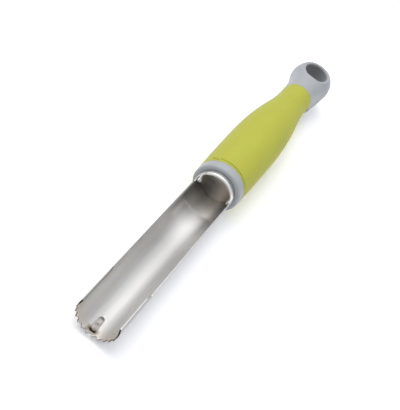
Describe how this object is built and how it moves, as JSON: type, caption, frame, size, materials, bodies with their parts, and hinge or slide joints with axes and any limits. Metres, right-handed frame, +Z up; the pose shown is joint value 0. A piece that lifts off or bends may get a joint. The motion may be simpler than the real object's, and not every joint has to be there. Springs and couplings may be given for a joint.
{
  "type": "fruit corer",
  "caption": "Hand fruit corer: rolled steel trough with saw teeth at the tip and a closed ring neck, in a grey plastic handle with a soft green grip and a ball end pierced by a hanging eye.",
  "frame": {"origin": "middle of the underside of the tool as it lies on a table, on its blade tip and its grip", "axes": "+Y from the toothed tip to the hanging ball, +X to the right seen from the tip, +Z up, with the trough open upwards"},
  "size_m": [0.0248, 0.221, 0.0249],
  "materials": {
    "blade_steel": "satin, brushed along the trough",
    "cap_steel": "pressed, satin",
    "hard_plastic": "fine satin moulding",
    "soft_grip": "matt soft-touch"
  },
  "bodies": {
    "root": {"blade": "blade_steel", "neck_plug": "cap_steel", "handle_core": "hard_plastic", "grip_sleeve": "soft_grip"}
  },
  "joints": []
}
